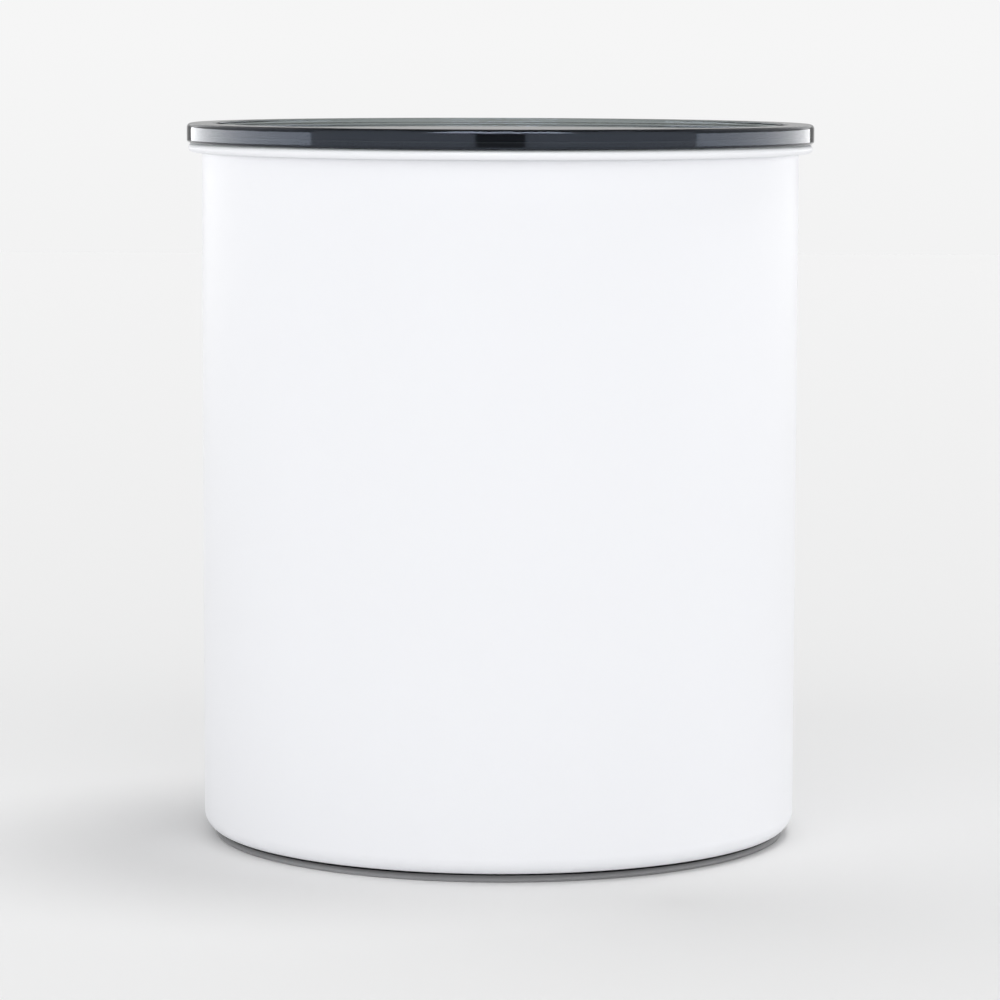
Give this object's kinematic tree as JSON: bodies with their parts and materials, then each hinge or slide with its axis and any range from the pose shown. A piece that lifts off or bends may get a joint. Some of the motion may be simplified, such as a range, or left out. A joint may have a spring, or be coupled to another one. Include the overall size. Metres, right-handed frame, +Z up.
{
  "type": "coffee canister",
  "caption": "Round steel coffee canister with a tinted outer lid and a press-down inner lid whose folding handle works an air valve.",
  "frame": {"origin": "centre of the base, on the surface the canister stands on", "axes": "+Z up along the can's axis, -Y towards the front, +X along the handle's pin to the right seen from the front"},
  "size_m": [0.184, 0.184, 0.21],
  "materials": {
    "coated_steel": "satin",
    "bare_steel": "satin",
    "smoke_plastic": "gloss",
    "silicone": "matte",
    "plunger_plastic": "matte",
    "valve_plastic": "satin",
    "pin_steel": "satin"
  },
  "bodies": {
    "canister": {"canister_shell": "coated_steel", "base_plate": "bare_steel"},
    "lid": {"outer_lid": "smoke_plastic", "lid_gasket": "silicone"},
    "plunger": {"plunger_dish": "plunger_plastic", "wiper_seal": "silicone", "bean_screen": "bare_steel", "valve_cap": "plunger_plastic", "valve_spring": "pin_steel", "handle_pin": "pin_steel"},
    "handle": {"pull_handle": "plunger_plastic"},
    "valve": {"valve_poppet": "valve_plastic", "poppet_seal": "silicone"}
  },
  "joints": [
    {"name": "lid_lift", "type": "slide", "parent": "canister", "child": "lid", "axis": [0, 0, 1], "range_m": [0, 0.1]},
    {"name": "plunger_slide", "type": "slide", "parent": "canister", "child": "plunger", "axis": [0, 0, 1], "range_m": [-0.134, 0]},
    {"name": "handle_fold", "type": "hinge", "parent": "plunger", "child": "handle", "pos_m": [0, 0, 0.1611], "axis": [1, 0, 0], "range_deg": [0, 90]},
    {"name": "valve_lift", "type": "slide", "parent": "plunger", "child": "valve", "axis": [0, 0, 1], "range_m": [0, 0.0025], "deforming": ["valve_spring"]}
  ],
  "couplings": [
    {"joint": "valve_lift", "follows": "handle_fold", "m_per_rad": 0.0015915}
  ]
}
